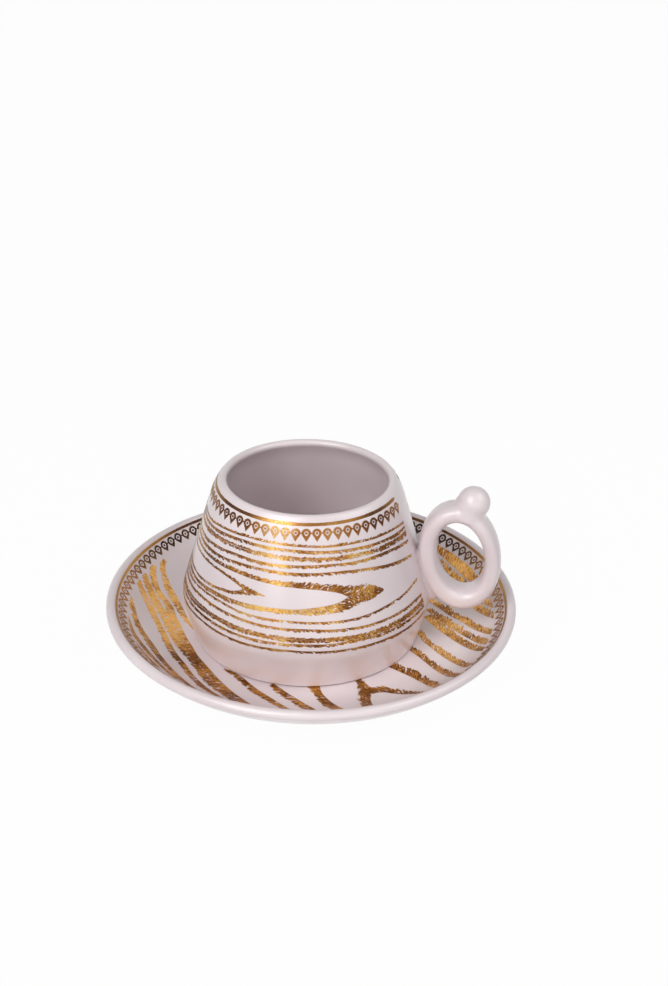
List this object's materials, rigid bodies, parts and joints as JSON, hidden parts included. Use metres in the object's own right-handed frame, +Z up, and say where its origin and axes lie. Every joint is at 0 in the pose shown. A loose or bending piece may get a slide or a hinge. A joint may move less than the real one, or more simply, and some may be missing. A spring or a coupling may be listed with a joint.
{
  "type": "arabic coffee cup and saucer",
  "caption": "Porcelain coffee cup with a tapered body, a ring handle with a thumb ball and a gold wood-grain print, on its matching dished saucer.",
  "frame": {"origin": "centre of the saucer's foot, on the surface it stands on", "axes": "+Z up, +X towards the cup's handle, +Y to the left of the handle seen from above"},
  "size_m": [0.125, 0.125, 0.0563],
  "materials": {
    "porcelain": "clear gloss glaze over white porcelain",
    "gold_line": "fired bright gold line",
    "gold_drops": "fired gold transfer print",
    "gold_grain": "fired gold transfer print, speckled"
  },
  "bodies": {
    "saucer": {"saucer": "porcelain", "saucer_gold_line": "gold_line", "saucer_drop_border": "gold_drops", "saucer_grain_print": "gold_grain"},
    "cup": {"cup_body": "porcelain", "handle_ring": "porcelain", "handle_seat": "porcelain", "thumb_ball": "porcelain", "cup_gold_line": "gold_line", "cup_drop_border": "gold_drops", "cup_grain_print": "gold_grain"}
  },
  "joints": [
    {"name": "cup_lift", "type": "slide", "parent": "saucer", "child": "cup", "axis": [0, 0, 1], "range_m": [0, 0.05]}
  ]
}
